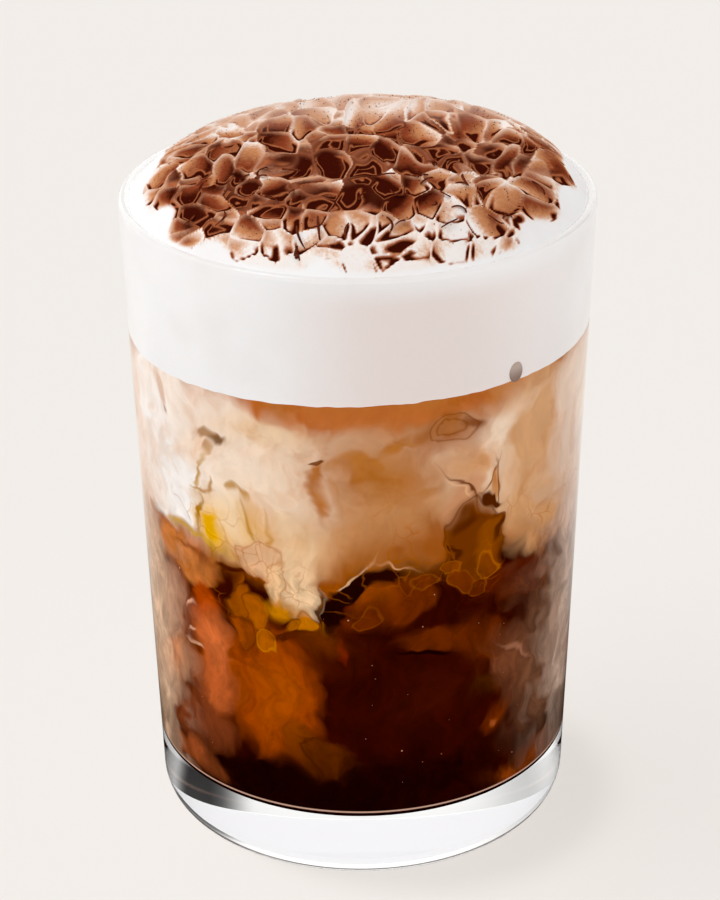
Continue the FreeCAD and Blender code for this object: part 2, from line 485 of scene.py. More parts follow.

# Patches of the marbling, among them painted reflections and glints, painted in this order: azimuth in
# degrees, height in mm, half length and half width in mm, turn in degrees, softness, strength, colour, and
# the colour of a thin line round it where it has one.
FRONT_PLUMES = [
    # the milk, from the cream on the left over the tan in the middle to the paler right
    (-58, 77, 20, 16, 0, 0.12, 1.0, CREAM, None),
    (-24, 76, 9, 8.5, 0, 0.4, 0.95, IVORY, None),
    (-27, 86.5, 8, 3.5, 0, 0.5, 0.8, tone(236, 203, 168), None),
    (-17, 62, 10, 4.2, -72, 0.25, 0.95, tone(240, 206, 168), None),
    (6, 78, 10, 13, 0, 0.8, 1.0, TAN, None),
    (17, 67, 8, 3.4, 0, 0.6, 0.85, tone(160, 94, 54), None),
    (9, 72, 6, 5, 0, 0.6, 0.6, tone(200, 148, 106), None),
    (2, 91, 22, 2.6, 1, 0.5, 0.85, tone(192, 116, 74), None),
    (-46, 89, 10, 3.5, 0, 0.6, 0.8, tone(250, 232, 218), None),
    (-43, 81.5, 5.5, 4.5, 0, 0.7, 0.6, tone(240, 202, 166), None),
    (22, 86, 5.5, 4, 0, 0.5, 0.8, OCHRE, None),
    (23, 86.5, 3.6, 2.8, 0, 0.4, 0.3, OCHRE, tone(128, 70, 32)),
    (23, 86.5, 2.1, 1.7, 0, 0.4, 0.3, TAN, tone(134, 74, 34)),
    (28.5, 86.8, 1.6, 1.1, 20, 0.3, 0.8, tone(118, 60, 26), None),
    (50, 76, 6.5, 16.5, 0, 0.35, 0.95, PEACH, None),
    (70, 74, 8, 18, 0, 0.5, 0.8, tone(228, 198, 178), None),
    (28, 78.5, 4, 3, -10, 0.6, 0.9, tone(212, 156, 112), None),
    (26, 73, 2.6, 3.4, 0, 0.35, 0.8, tone(206, 148, 112), None),
    (26, 74.3, 4, 0.26, -50, 0.6, 0.9, tone(105, 50, 22), None),
    (24.7, 74, 3.4, 0.22, -50, 0.6, 0.6, tone(236, 192, 152), None),
    # the block of amber that rises on the right
    (31, 64.5, 6, 7.6, 0, 0.13, 1.0, tone(114, 54, 12), tone(84, 34, 8)),
    (35, 65, 2.6, 4.6, 0, 0.3, 0.9, tone(142, 74, 20), None),
    (24, 64.5, 1.1, 2.2, 0, 0.3, 0.8, tone(66, 22, 4), None),
    (38.5, 66.5, 0.8, 2.2, 0, 0.3, 0.8, tone(70, 25, 5), None),
    (27, 69.5, 1.5, 0.8, 20, 0.3, 0.8, tone(80, 32, 8), None),
    (35, 74.3, 1.4, 1.6, 0, 0.3, 0.8, tone(198, 130, 72), None),
    (35, 72.2, 2.7, 0.8, -12, 0.2, 1.0, tone(84, 36, 10), None),
    (36.8, 74.6, 2.7, 0.28, -68, 0.5, 0.9, tone(118, 58, 20), None),
    (33.2, 75, 2.5, 0.26, 50, 0.5, 0.85, tone(138, 74, 30), None),
    # gold threads on the left
    (-10, 78, 3.6, 0.9, 68, 0.6, 0.85, tone(176, 104, 48), None),
    (-12.3, 73.5, 2.4, 0.7, 95, 0.6, 0.8, tone(184, 112, 52), None),
    (-9, 81.5, 1.2, 0.6, 30, 0.4, 0.9, tone(112, 58, 22), None),
    (-40.5, 83.2, 2.6, 0.7, -6, 0.6, 0.85, tone(164, 122, 82), None),
    (-38, 82.8, 1.1, 0.7, 30, 0.5, 0.9, tone(122, 84, 52), None),
    (-40.3, 81.2, 0.5, 0.9, 0, 0.6, 0.7, tone(176, 132, 92), None),
    (-57, 86.5, 1.4, 2.4, 0, 0.6, 0.8, tone(222, 184, 160), None),
    (-56, 83.8, 0.6, 0.7, 0, 0.5, 0.8, tone(164, 138, 118), None),
    (-38, 67, 5, 5, 0, 0.8, 0.75, tone(244, 204, 148), None),
    (-42, 64.8, 3.2, 2.6, 55, 0.95, 1.0, tone(238, 182, 70), None),
    (-42.5, 75.5, 4.2, 0.42, 75, 0.6, 0.85, tone(196, 150, 74), None),
    (-42.5, 72, 2.0, 0.45, 5, 0.6, 0.8, tone(186, 134, 58), None),
    (-39, 73, 1.3, 0.35, 70, 0.6, 0.8, tone(180, 128, 60), None),
    (-45.3, 66.5, 4.4, 0.36, 72, 0.6, 0.9, tone(176, 124, 34), None),
    (-33.5, 73, 0.8, 0.6, 50, 0.4, 0.8, tone(188, 136, 64), None),
    (-30.5, 72.6, 1.4, 0.5, -30, 0.4, 0.8, tone(192, 138, 62), None),
    (-28.5, 69, 2.3, 2.3, 0, 0.7, 0.7, tone(234, 186, 116), None),
    (-29.5, 68.5, 2.6, 0.35, -70, 0.6, 0.8, tone(190, 135, 56), None),
    (-24.8, 66.5, 4.2, 0.3, 88, 0.6, 0.7, tone(212, 158, 84), None),
    (-31.5, 62, 2.2, 2.8, 0, 0.25, 0.9, tone(220, 172, 134), tone(190, 126, 84)),
    (-27, 63, 3.2, 3.4, 0, 0.25, 0.9, tone(228, 184, 148), tone(196, 132, 88)),
    (-22, 60, 2.2, 4.0, 0, 0.2, 0.85, tone(234, 194, 152), tone(200, 140, 92)),
    # the dark coffee and what sinks into it, with painted reflections and glints near the sides
    (24, 34, 24, 21, 0, 0.1, 1.0, ESPRESSO, None),
    (46, 55, 8, 3.6, -18, 0.35, 0.95, tone(86, 36, 24), None),
    (-52, 56, 7.5, 5, 0, 0.35, 1.0, tone(196, 124, 78), None),
    (-50, 61.6, 6, 0.6, 2, 0.6, 0.9, tone(210, 166, 78), None),
    (-49, 58.4, 4, 0.5, 3, 0.6, 0.8, tone(130, 66, 38), None),
    (-24, 37, 8.5, 13, 0, 0.22, 1.0, AMBER, None),
    (-24, 36, 4.4, 7, 0, 0.8, 0.7, tone(170, 80, 20), None),
    (-16, 27, 3, 4, 0, 0.3, 0.8, tone(118, 54, 8), None),
    (-36, 56.4, 1.8, 1.8, 0, 0.2, 1.0, tone(142, 72, 24), tone(84, 32, 8)),
    (-32.5, 53, 3.6, 2.2, 70, 0.15, 1.0, tone(154, 78, 18), tone(88, 34, 6)),
    (-27.5, 51.8, 2.4, 3.8, 0, 0.15, 1.0, tone(164, 86, 20), tone(98, 42, 8)),
    (-33, 47.3, 2.2, 2.8, 0, 0.15, 1.0, tone(142, 64, 10), tone(92, 36, 6)),
    (-25, 46.5, 2.2, 2.0, 0, 0.15, 0.9, tone(170, 92, 30), tone(208, 140, 70)),
    (-18, 47.6, 3, 1.1, 8, 0.25, 0.95, tone(80, 28, 4), None),
    (-20.5, 54, 2.6, 2.2, -20, 0.5, 0.95, tone(206, 134, 54), None),
    (-17, 50.3, 1.6, 1.7, 0, 0.3, 0.9, tone(176, 100, 30), tone(110, 54, 12)),
    (-13.5, 51.3, 1.7, 2.6, 0, 0.25, 0.95, tone(184, 112, 46), tone(120, 62, 20)),
    (-9, 50.4, 1.0, 2.3, 0, 0.25, 0.95, tone(176, 104, 36), tone(84, 36, 8)),
    (-39.5, 53.2, 5.6, 2.2, 68, 0.25, 1.0, tone(52, 9, 2), None),
    (-36.5, 58.8, 2.4, 0.7, -5, 0.3, 0.9, tone(70, 18, 4), None),
    (-45.5, 49, 4.8, 2.2, 74, 0.6, 1.0, tone(170, 78, 50), None),
    (-42.5, 34, 3.4, 7, 0, 0.6, 0.95, tone(188, 104, 70), None),
    (-43.5, 42.5, 3.4, 4.6, 0, 0.8, 1.0, tone(210, 120, 82), None),
    (-58, 46, 4.4, 7, 0, 0.35, 1.0, MAUVE, None),
    # painted glints: small pale highlights on the salmon streak
    (-51, 47, 0.9, 0.35, 20, 0.5, 0.8, tone(236, 184, 156), None),
    (-50.5, 42, 1.0, 0.4, 15, 0.5, 0.8, tone(236, 184, 156), None),
    (-51, 39.5, 1.9, 0.4, -8, 0.5, 0.8, tone(230, 176, 146), None),
    (-63, 34, 6, 3.6, 20, 0.6, 0.8, tone(222, 158, 122), None),
    (-53, 25, 8, 5, 10, 0.4, 1.0, tone(116, 62, 42), None),
    (-55, 16.5, 8, 2.6, 0, 0.5, 0.9, tone(142, 78, 52), None),
    (-26, 18.5, 9, 5, 0, 0.2, 1.0, BLACK, None),
    (-10, 25.5, 4, 3.6, 0, 0.2, 0.95, tone(90, 38, 6), tone(60, 20, 4)),
    (-4, 22.5, 2.6, 2.4, 0, 0.2, 0.9, tone(66, 24, 4), None),
    (17, 35, 5, 5, 0, 0.6, 0.7, tone(62, 16, 4), None),
    (-3.5, 46.5, 4.5, 5, 0, 0.5, 1.0, tone(58, 14, 2), None),
    (31, 34.5, 2.6, 2.2, 0, 0.5, 0.8, tone(62, 28, 6), None),
    (20, 46.8, 5.2, 3, -6, 0.3, 0.95, tone(100, 40, 12), None),
    (16.5, 43.4, 3.8, 0.6, -12, 0.3, 0.95, BLACK, None),
    (35, 43, 6, 4, -38, 0.6, 0.85, tone(100, 46, 26), None),
    # painted reflection: grey-brown haze and a pale streak, where the glass mirrors a bright light on the
    # right
    (45, 36, 7, 4.5, -38, 0.6, 0.8, tone(124, 76, 54), None),
    (46, 39, 3.6, 0.45, -38, 0.6, 0.7, tone(178, 126, 102), None),
    (38.5, 27.5, 3, 1.8, 15, 0.4, 0.9, tone(112, 48, 22), None),
    (38, 27.2, 0.9, 0.6, 0, 0.4, 0.8, tone(174, 98, 64), None),
    # painted reflection: the broad haze over the right side of the wall
    (60, 38, 8, 18, 0, 0.7, 0.7, REFLECTION_HAZE, None),
    (56, 16, 8, 2.4, 0, 0.6, 0.85, tone(136, 70, 42), None),
    (12, 18.5, 18, 6, 0, 0.5, 0.9, BLACK, None),
    # painted reflections: pale bands down both edges of the wall, where the glass mirrors the bright studio
    (-84, 44, 12, 40, 0, 0.45, 1.0, tone(240, 202, 172), None),
    (84, 46, 12, 36, 0, 0.45, 0.9, tone(214, 186, 168), None),
    # the cave of brew under the middle of the milk
    (8, 56, 6.4, 4.2, 0, 0.25, 1.0, tone(106, 42, 12), None),
    (3.5, 57.5, 2.4, 1.8, 0, 0.5, 0.8, tone(136, 64, 20), None),
    (2, 53.6, 1.4, 1.4, 0, 0.15, 0.8, tone(98, 38, 10), tone(140, 72, 26)),
    (16, 58.6, 2.4, 1.8, 0, 0.2, 0.9, tone(112, 48, 16), tone(150, 84, 40)),
    (24, 61.2, 2.0, 1.7, 0, 0.15, 0.9, tone(126, 62, 22), tone(164, 96, 46)),
    (27, 58, 2.2, 2.0, 0, 0.15, 0.9, tone(116, 50, 16), tone(152, 84, 40)),
    (31.5, 56.6, 2.0, 1.8, 0, 0.15, 0.9, tone(96, 38, 12), tone(140, 74, 34)),
    (35.5, 60, 1.9, 2.4, 0, 0.2, 0.8, tone(122, 58, 14), tone(184, 108, 44)),
    (-6.2, 54.5, 5.5, 1.5, 78, 0.2, 1.0, tone(26, 2, 0), None),
    (-1.5, 60.2, 3.8, 2.1, 42, 0.2, 1.0, tone(28, 3, 0), None),
    (5, 61.6, 3.8, 1.8, -6, 0.25, 1.0, tone(36, 5, 1), None),
    (-1.5, 62.7, 3.0, 0.2, 38, 0.6, 0.8, tone(228, 182, 142), None),
    (8.8, 63.2, 2.4, 0.18, -25, 0.6, 0.75, tone(216, 164, 122), None),
    (-9.3, 54.5, 5, 0.3, 84, 0.5, 0.9, tone(62, 24, 6), None),
    (-5, 46, 2.2, 0.35, 85, 0.5, 0.7, tone(132, 46, 32), None),
    (-9.5, 47.6, 2.4, 2.2, 0, 0.5, 1.0, tone(104, 44, 8), None),
]
REAR_PLUMES = [
    (96, 80, 12, 12, 0, 0.4, 0.9, IVORY, None),
    (122, 70, 20, 8, 75, 0.3, 0.95, CREAM, None),
    (152, 78, 9, 10, 0, 0.4, 0.9, PEACH, None),
    (140, 84, 7, 5, 10, 0.5, 0.8, OCHRE, None),
    (150, 63, 6, 8, 0, 0.14, 1.0, tone(116, 54, 14), tone(84, 34, 8)),
    (-178, 68, 22, 9, 100, 0.3, 1.0, IVORY, None),
    (182, 68, 22, 9, 100, 0.3, 1.0, IVORY, None),
    (-150, 82, 10, 8, 0, 0.5, 0.9, TAN, None),
    (-148, 62, 5.5, 7, 0, 0.7, 1.0, MAHOGANY, None),
    (-118, 74, 16, 10, 80, 0.3, 1.0, CREAM, None),
    (-92, 80, 8, 12, 0, 0.5, 0.8, PEACH, None),
    (-124, 66, 4, 0.4, 60, 0.6, 0.8, tone(190, 136, 58), None),
    (100, 34, 16, 9, 70, 0.4, 0.9, AMBER, None),
    (112, 50, 3, 3.4, 0, 0.15, 1.0, tone(154, 78, 18), tone(88, 34, 6)),
    (134, 40, 16, 5, 105, 0.4, 0.8, SALMON, None),
    (168, 30, 9, 12, 0, 0.5, 0.8, RUST, None),
    (-160, 46, 14, 4.5, 70, 0.4, 0.8, AMBER, None),
    (-128, 38, 10, 14, 0, 0.4, 0.8, AMBER, None),
    (-118, 50, 3.4, 2.6, 0, 0.15, 1.0, tone(164, 86, 20), tone(98, 42, 8)),
    (-98, 44, 14, 5.5, 105, 0.4, 0.8, SALMON, None),
    (176, 44.5, 5, 4.5, 0, 0.7, 1.0, MAHOGANY, None),
    (-184, 44.5, 5, 4.5, 0, 0.7, 1.0, MAHOGANY, None),
    (175, 18, 60, 6, 0, 0.5, 0.9, BLACK, None),
    (-150, 18, 40, 6, 0, 0.5, 0.9, BLACK, None),
]


def marbling_group():
    """The colour of the drink where it meets the glass, with painted reflections and glints near its sides.
    """
    if "Marbled Coffee" in bpy.data.node_groups:
        return bpy.data.node_groups["Marbled Coffee"]
    group, tree, given, out = new_group("Marbled Coffee", {"Point": "vector"}, {"Color": "colour"})
    stirred = place(tree, flow_group(), {"Point": given.outputs["Point"], "Stir": 1.0})
    flow, wild = stirred.outputs["Flow"], stirred.outputs["Stirred Point"]
    point = tree.scaled(given.outputs["Point"], 1 / MM)
    laid = tree.add("ShaderNodeSeparateXYZ", {0: flow}).outputs
    across, height = laid["X"], laid["Y"]
    # brew up to the meeting level, which rises right of the middle, and milky coffee over it
    colour = tree.mix(tree.range(height, 18, 30), BLACK, ESPRESSO)
    glow = tree.range(tree.noise(wild, 1 / 11, 2.0)[0], 0.5, 0.66)
    colour = tree.mix(tree.math("MULTIPLY", glow, tree.range(height, 20, 34)), colour, RUST)
    from_left = tree.range(across, -9 * ROUND, 1 * ROUND)
    to_right = tree.range(across, 54 * ROUND, 42 * ROUND, 0, 5.5)
    level = tree.math("SUBTRACT", height, tree.math("MULTIPLY", from_left, to_right))
    colour = tree.mix(tree.range(level, 56.5, 60), colour, tone(148, 82, 44))
    colour = tree.mix(tree.range(level, 60, 66), colour, PEACH)
    colour = tree.mix(tree.range(height, 66, 80), colour, IVORY)
    colour = tree.mix(tree.range(height, 84, 92), colour, TAN)
    edge = tree.range(tree.noise(flow, 1 / 7, 1.0)[0], 0.36, 0.64, 0.6, 2.6)
    for azimuth, z, long, wide, turn, softness, strength, patch, line in FRONT_PLUMES + REAR_PLUMES:
        mask = place(
            tree,
            plume_group(),
            {
                "Flow": flow, "Middle": (azimuth * ROUND, z, 0), "Turn": (0, 0, math.radians(turn)),
                "Half Size": (long, wide, 1), "Softness": softness, "Strength": strength, "Edge": edge,
                "Line": min(0.5, EDGE_LINE / min(long, wide)),
            },
        )
        colour = tree.mix(mask.outputs["Mask"], colour, patch)
        if line:
            colour = tree.mix(tree.math("MULTIPLY", mask.outputs["Rim"], 0.55), colour, line)
    # upright streaks, blots in the milk, and the thin veins where currents of milk and coffee meet
    streaks = tree.vector("MULTIPLY", wild, (1.0, 1.0, 0.45))
    swing = tree.range(height, 58, 66, 0.22, 0.05)
    grain = tree.range(tree.noise(streaks, 0.42, 3.0, 0.6)[0], 0.3, 0.7, -1.0, 1.0)
    shade = tree.math("ADD", 1.0, tree.math("MULTIPLY", grain, swing))
    grey = tree.add("ShaderNodeCombineXYZ", {0: shade, 1: shade, 2: shade}).outputs[0]
    colour = tree.mix(1.0, colour, grey, "MULTIPLY")
    blots = tree.range(tree.noise(wild, 1 / 6, 3.0, 0.55)[0], 0.48, 0.66)
    milky = tree.range(level, 62, 68, 0.0, 0.35)
    stained = tree.mix(1.0, colour, tone(232, 200, 172), "MULTIPLY")
    colour = tree.mix(tree.math("MULTIPLY", blots, milky), colour, stained)
    threads = tree.add("ShaderNodeTexVoronoi", {"Vector": wild, "Scale": 1 / 4.2}, feature="DISTANCE_TO_EDGE")
    meeting = tree.math("MULTIPLY", tree.range(level, 44, 56), tree.range(level, 72, 64))
    patchy = tree.math("MULTIPLY", tree.range(tree.noise(point, 1 / 9, 1.0)[0], 0.48, 0.6), meeting)
    thread = tree.math("MULTIPLY", tree.range(threads.outputs["Distance"], 0.05, 0.0), patchy)
    colour = tree.mix(tree.math("MULTIPLY", thread, 0.6), colour, tree.mix(0.6, colour, tone(176, 92, 26)))
    vivid = tree.add("ShaderNodeHueSaturation", {"Saturation": 1.09, "Value": 1.04, "Color": colour})
    tree.link(vivid.outputs[0], out.inputs["Color"])
    return group


def drink_material(name, roughness, floor_mirror=False):
    """Opaque drink that is only seen through the glass.

    On its floor, the boundary between glass and drink turns into a mirror at low angles, so that the base of
    the glass guides light from behind, as thick glass does. The corner above the floor is painted black as
    shade, under a painted pale glint.
    """
    material, tree, shader, output = new_material(name)
    point = tree.add("ShaderNodeTexCoord").outputs["Object"]
    colour = place(tree, marbling_group(), {"Point": point}).outputs["Color"]
    shader.inputs["Roughness"].default_value = roughness
    shader.inputs["Specular IOR Level"].default_value = 0.0
    surface = shader.outputs[0]
    if floor_mirror:
        g = bpy.context.scene.cold_brew_glass
        height = tree.add("ShaderNodeSeparateXYZ", {0: point}).outputs["Z"]
        under = tree.range(height, g.base + 1.3 * MM, g.base + 1.5 * MM)
        over = tree.range(height, g.base + 1.95 * MM, g.base + 1.7 * MM)
        glint = tree.math("MULTIPLY", under, over)
        # painted shade: the corner above the floor is painted black, with a painted pale glint over it
        colour = tree.mix(tree.range(height, g.base + 1.7 * MM, g.base + 1.3 * MM), colour, BLACK)
        colour = tree.mix(tree.math("MULTIPLY", glint, 0.75), colour, tone(236, 190, 168))
        fresnel = tree.add("ShaderNodeFresnel", {"IOR": WATER_IOR / GLASS_IOR}).outputs[0]
        low_angle = tree.range(fresnel, 0.03, 0.9)
        flat = tree.range(height, g.base + 0.12 * MM, g.base + 0.02 * MM)
        mirror = tree.add("ShaderNodeBsdfGlossy", {"Color": (1, 1, 1), "Roughness": 0.0})
        share = tree.math("MULTIPLY", low_angle, flat)
        mixed = tree.add("ShaderNodeMixShader", {0: share, 1: surface, 2: mirror.outputs[0]})
        surface = mixed.outputs[0]
    tree.link(colour, shader.inputs["Base Color"])
    surface = let_shadow_through(tree, surface, (0.02, 0.0, 0.0), (1.0, 1.0, 0.99), 38 * MM)
    tree.link(surface, output.inputs["Surface"])
    return material


def let_shadow_through(tree, surface, near_tint, far_tint, reach):
    """A surface whose shadow is only a tint, which gives way to a paler one at a distance."""
    path = tree.add("ShaderNodeLightPath").outputs
    tint = tree.mix(tree.range(path["Ray Length"], 0.6 * reach, reach), near_tint, far_tint)
    through = tree.add("ShaderNodeBsdfTransparent", {"Color": tint}).outputs[0]
    return tree.add("ShaderNodeMixShader", {0: path["Is Shadow Ray"], 1: surface, 2: through}).outputs[0]


def glass_material():
    """Clear glass. Light that its wall would carry round many times ends as a pale glow."""
    material, tree, shader, output = new_material("Clear Glass")
    shader.inputs["Base Color"].default_value = opaque(bpy.context.scene.cold_brew_glass.tint)
    shader.inputs["Transmission Weight"].default_value = 1.0
    shader.inputs["IOR"].default_value = GLASS_IOR
    shader.inputs["Roughness"].default_value = 0.0
    bounces = tree.add("ShaderNodeLightPath").outputs["Glossy Depth"]
    carried = tree.math("GREATER_THAN", bounces, GLOW_BOUNCES)
    glow = tree.add("ShaderNodeEmission", {"Color": tone(236, 233, 230)})
    surface = tree.add("ShaderNodeMixShader", {0: carried, 1: shader.outputs[0], 2: glow.outputs[0]})
    tree.link(surface.outputs[0], output.inputs["Surface"])
    return material


def foam_material():
    """Cream foam: fine bubbles, and cocoa laid over the ridges and cells of its crust."""
    foam, cocoa = bpy.context.scene.cold_brew_foam, bpy.context.scene.cold_brew_cocoa
    material, tree, shader, output = new_material("Cream Foam")
    point = tree.scaled(tree.add("ShaderNodeTexCoord").outputs["Object"], 1 / MM)
    seen = {
        name: tree.add("ShaderNodeAttribute", attribute_name=name).outputs["Fac"]
        for name in ("dust", "line", "ridge", "shade")
    }
    # the cream, with a painted warm shade over the front of its wall
    cloud = tree.noise(point, 1 / 14, 3.0)[0]
    colour = tree.mix(tree.range(cloud, 0.4, 0.7), foam.white, tone(246, 244, 245))
    parts = tree.add("ShaderNodeSeparateXYZ", {0: point}).outputs
    warm = tree.math("MULTIPLY", tree.range(parts["X"], -18, 4), tree.range(parts["X"], 46, 14))
    warm = tree.math("MULTIPLY", warm, tree.range(parts["Z"], 114, 108))
    colour = tree.mix(tree.math("MULTIPLY", warm, tree.range(parts["Y"], 8, -8)), colour, tone(240, 229, 226))
    fine = tree.math("SUBTRACT", tree.noise(point, 1.5, 3.0, 0.7)[0], 0.5)
    shade = tree.math("ADD", seen["shade"], tree.math("MULTIPLY", fine, 0.3))
    # painted sheen: the cocoa is paled towards the back
    painted_back_sheen = tree.range(parts["Y"], 2, 20, 0, 0.5)
    # the cocoa: its cells; the pale ridges between them, bare foam with a painted highlight; the dark lines
    # beside those, cocoa with a painted shadow; and a painted sheen at the back
    crust = tree.mix(tree.range(shade, 0.0, 0.3), cocoa.pale, cocoa.tan)
    crust = tree.mix(tree.range(shade, 0.25, 0.6), crust, cocoa.warm)
    crust = tree.mix(tree.range(shade, 0.55, 0.95), crust, cocoa.dark)
    thick = tree.range(shade, 0.0, 0.16, 0.25, 1.0)
    dust = tree.math("MULTIPLY", tree.range(seen["dust"], 0.0, 0.55), thick)
    colour = tree.mix(dust, colour, crust)
    # the ridges: paler than the cells, as bare foam and as a painted highlight
    ridge = tree.mix(tree.range(shade, 0.1, 0.6), tone(252, 240, 232), tone(224, 172, 138))
    ridge = tree.mix(tree.range(shade, 0.6, 1.0), ridge, tone(150, 84, 56))
    colour = tree.mix(tree.math("MULTIPLY", seen["ridge"], 0.85), colour, ridge)
    # the dark lines: cocoa in the grooves, and a painted shadow beside each ridge
    line = tree.math("ADD", seen["line"], tree.math("MULTIPLY", fine, 0.3))
    colour = tree.mix(tree.range(line, 0.12, 0.5), colour, tone(176, 100, 62))
    colour = tree.mix(tree.range(line, 0.4, 0.75), colour, cocoa.dark)
    colour = tree.mix(tree.math("MULTIPLY", painted_back_sheen, seen["dust"]), colour, tone(222, 190, 172))
    tree.link(colour, shader.inputs["Base Color"])
    shader.inputs["Roughness"].default_value = 0.75
    shader.inputs["Subsurface Weight"].default_value = 0.15
    shader.inputs["Subsurface Radius"].default_value = (1.0, 0.8, 0.7)
    shader.inputs["Subsurface Scale"].default_value = 0.6 * MM
    bubbles = tree.add("ShaderNodeTexVoronoi", {"Vector": point, "Scale": 1.4}).outputs["Distance"]
    bump = tree.add("ShaderNodeBump", {"Height": bubbles, "Strength": 0.12, "Distance": 0.2 * MM})
    tree.link(bump.outputs[0], shader.inputs["Normal"])
    shader.inputs["Specular IOR Level"].default_value = 0.0
    surface = let_shadow_through(tree, shader.outputs[0], (0.0, 0.0, 0.0), (0.98, 0.975, 0.97), 60 * MM)
    tree.link(surface, output.inputs["Surface"])
    return material


def chocolate_material():
    """Matt chocolate for the curls and grains."""
    material, tree, shader, _ = new_material("Chocolate")
    point = tree.scaled(tree.add("ShaderNodeTexCoord").outputs["Object"], 1 / MM)
    mottle = tree.noise(point, 0.9, 3.0, 0.65)[0]
    colour = tree.mix(tree.range(mottle, 0.35, 0.75), tone(74, 24, 12), tone(122, 58, 34))
    tree.link(colour, shader.inputs["Base Color"])
    shader.inputs["Roughness"].default_value = 0.55
    shader.inputs["Specular IOR Level"].default_value = 0.0
    return material


def bubble_material():
    """The bubbles' skin: brown and cream in the drink, and grey where the large one meets the foam."""
    material, tree, shader, _ = new_material("Bubble Skin")
    point = tree.scaled(tree.add("ShaderNodeTexCoord").outputs["Object"], 1 / MM)
    shimmer = tree.noise(point, 0.5, 1.0)[0]
    small = tree.mix(tree.range(shimmer, 0.35, 0.65), tone(160, 84, 56), tone(222, 170, 142))
    parts = tree.add("ShaderNodeSeparateXYZ", {0: point}).outputs
    large = tree.mix(tree.range(parts["Z"], 92.2, 94.6), tone(134, 108, 96), tone(186, 164, 152))
    # only the large one lies above the foam's lowest point
    colour = tree.mix(tree.math("GREATER_THAN", parts["Z"], FOAM_LOW.z / MM), small, large)
    tree.link(colour, shader.inputs["Base Color"])
    shader.inputs["Roughness"].default_value = 0.15
    return material


# ---------------------------------------------------------------------------------------------------------
# The foam's mound and its crust
# ---------------------------------------------------------------------------------------------------------

# Low swells on the mound: azimuth in degrees, distance from the axis, height and width, in mm.
CAP_SWELLS = [
    (-125.0, 15.0, 0.5, 8.0),
    (-70.0, 22.0, -0.4, 7.0),
    (-20.0, 18.0, 0.45, 8.0),
    (30.0, 9.0, -0.5, 7.0),
    (75.0, 22.0, 0.4, 8.0),
    (140.0, 21.0, 0.6, 7.0),
    (170.0, 10.0, -0.3, 7.0),
]


def mound_height(x, y):
    """The height of the foam's mound over the table, for arrays of x and y."""
    foam = bpy.context.scene.cold_brew_foam
    edge = bpy.context.scene.cold_brew_glass.height - foam.edge_drop
    rim = inner_radius(edge)
    out = np.hypot(x, y) / rim
    for _ in range(12):
        drift = np.maximum(0, 1 - out**2)
        out = np.hypot(x - foam.crown[0] * drift, y - foam.crown[1] * drift) / rim
    inside = np.maximum(0, 1 - out**2)
    rise = foam.rise * np.maximum(0, 1 - out**foam.fullness) * (1 + foam.skew * x / rim)
    for azimuth, distance, height, width in CAP_SWELLS:
        turn = math.radians(azimuth)
        away = np.hypot(x - distance * MM * math.sin(turn), y + distance * MM * math.cos(turn))
        rise = rise + height * MM * np.exp(-((away / (width * MM)) ** 2)) * inside
    return edge + rise


LATTICE_PRIMES = (73856093, 19349663, 83492791)  # they mix a place and a salt into one number
SALT_PRIME = 2654435761
LATTICE_START = (190, 170, 42)  # of the crust's cells, in mm, so that the lattice's origin lies off the foam
FLAT_SHARE, STEEP_SHARE = 0.45, 0.9  # of a length over the crown, and of one up its slope, as seen in front

# Where the crust is darker or paler: by how much, the oval's middle and its half lengths, in mm.
DEPTH_OVALS = [
    (0.75, (-1, -12), (17, 13)),
    (0.5, (0, -25), (10, 7)),
    (0.3, (-27, -12), (6, 10)),
    (0.5, (-16, -24), (9, 6)),
    (0.4, (22, -9), (8, 8)),
    (-0.3, (19, -27), (10, 6)),
]


def smooth_step(value, low, high):
    t = np.clip((value - low) / (high - low), 0, 1)
    return t * t * (3 - 2 * t)


def lattice_random(cells, salt):
    """Repeatable random numbers from 0 to 1 for whole-number places, in three columns."""
    places = cells.astype(np.int64)
    mixed = salt * SALT_PRIME
    for k, prime in enumerate(LATTICE_PRIMES):
        mixed = mixed ^ places[..., k] * prime
    columns = []
    for k in range(3):
        mixed = (mixed ^ (mixed >> 13)) * 1274126177 & 0x7FFFFFFF
        mixed = (mixed ^ (mixed >> 16)) * 668265263 & 0x7FFFFFFF
        columns.append(mixed / 0x7FFFFFFF)
    return np.stack(columns, -1)


def lattice_noise(points, salt):
    """Smooth noise from 0 to 1 at points (n, 3), one unit to a cell."""
    base = np.floor(points)
    t = points - base
    t = t * t * (3 - 2 * t)
    total = np.zeros(points.shape[:-1])
    for corner in np.ndindex(2, 2, 2):
        offset = np.array(corner)
        weight = np.prod(np.where(offset == 1, t, 1 - t), -1)
        total += weight * lattice_random(base + offset, salt)[..., 0]
    return total


def nearest_cells(points, salt, jitter=0.85):
    """For each point: distance to the cell wall, a random number for the cell, and the way to its middle."""
    base = np.floor(points)
    first = np.full(points.shape[:-1], 9.0)
    second = np.full(points.shape[:-1], 9.0)
    chance = np.zeros(points.shape[:-1])
    middle = np.zeros(points.shape)
    for step in np.ndindex(3, 3, 3):
        cell = base + np.array(step) - 1
        random = lattice_random(cell, salt)
        way = cell + 0.5 + (random - 0.5) * jitter - points
        away = np.linalg.norm(way, axis=-1)
        nearer = away < first
        second = np.where(nearer, first, np.minimum(second, away))
        chance = np.where(nearer, random[..., 1] * 7.31 % 1, chance)
        middle = np.where(nearer[..., None], way, middle)
        first = np.where(nearer, away, first)
    return (second - first) / 2, chance, middle


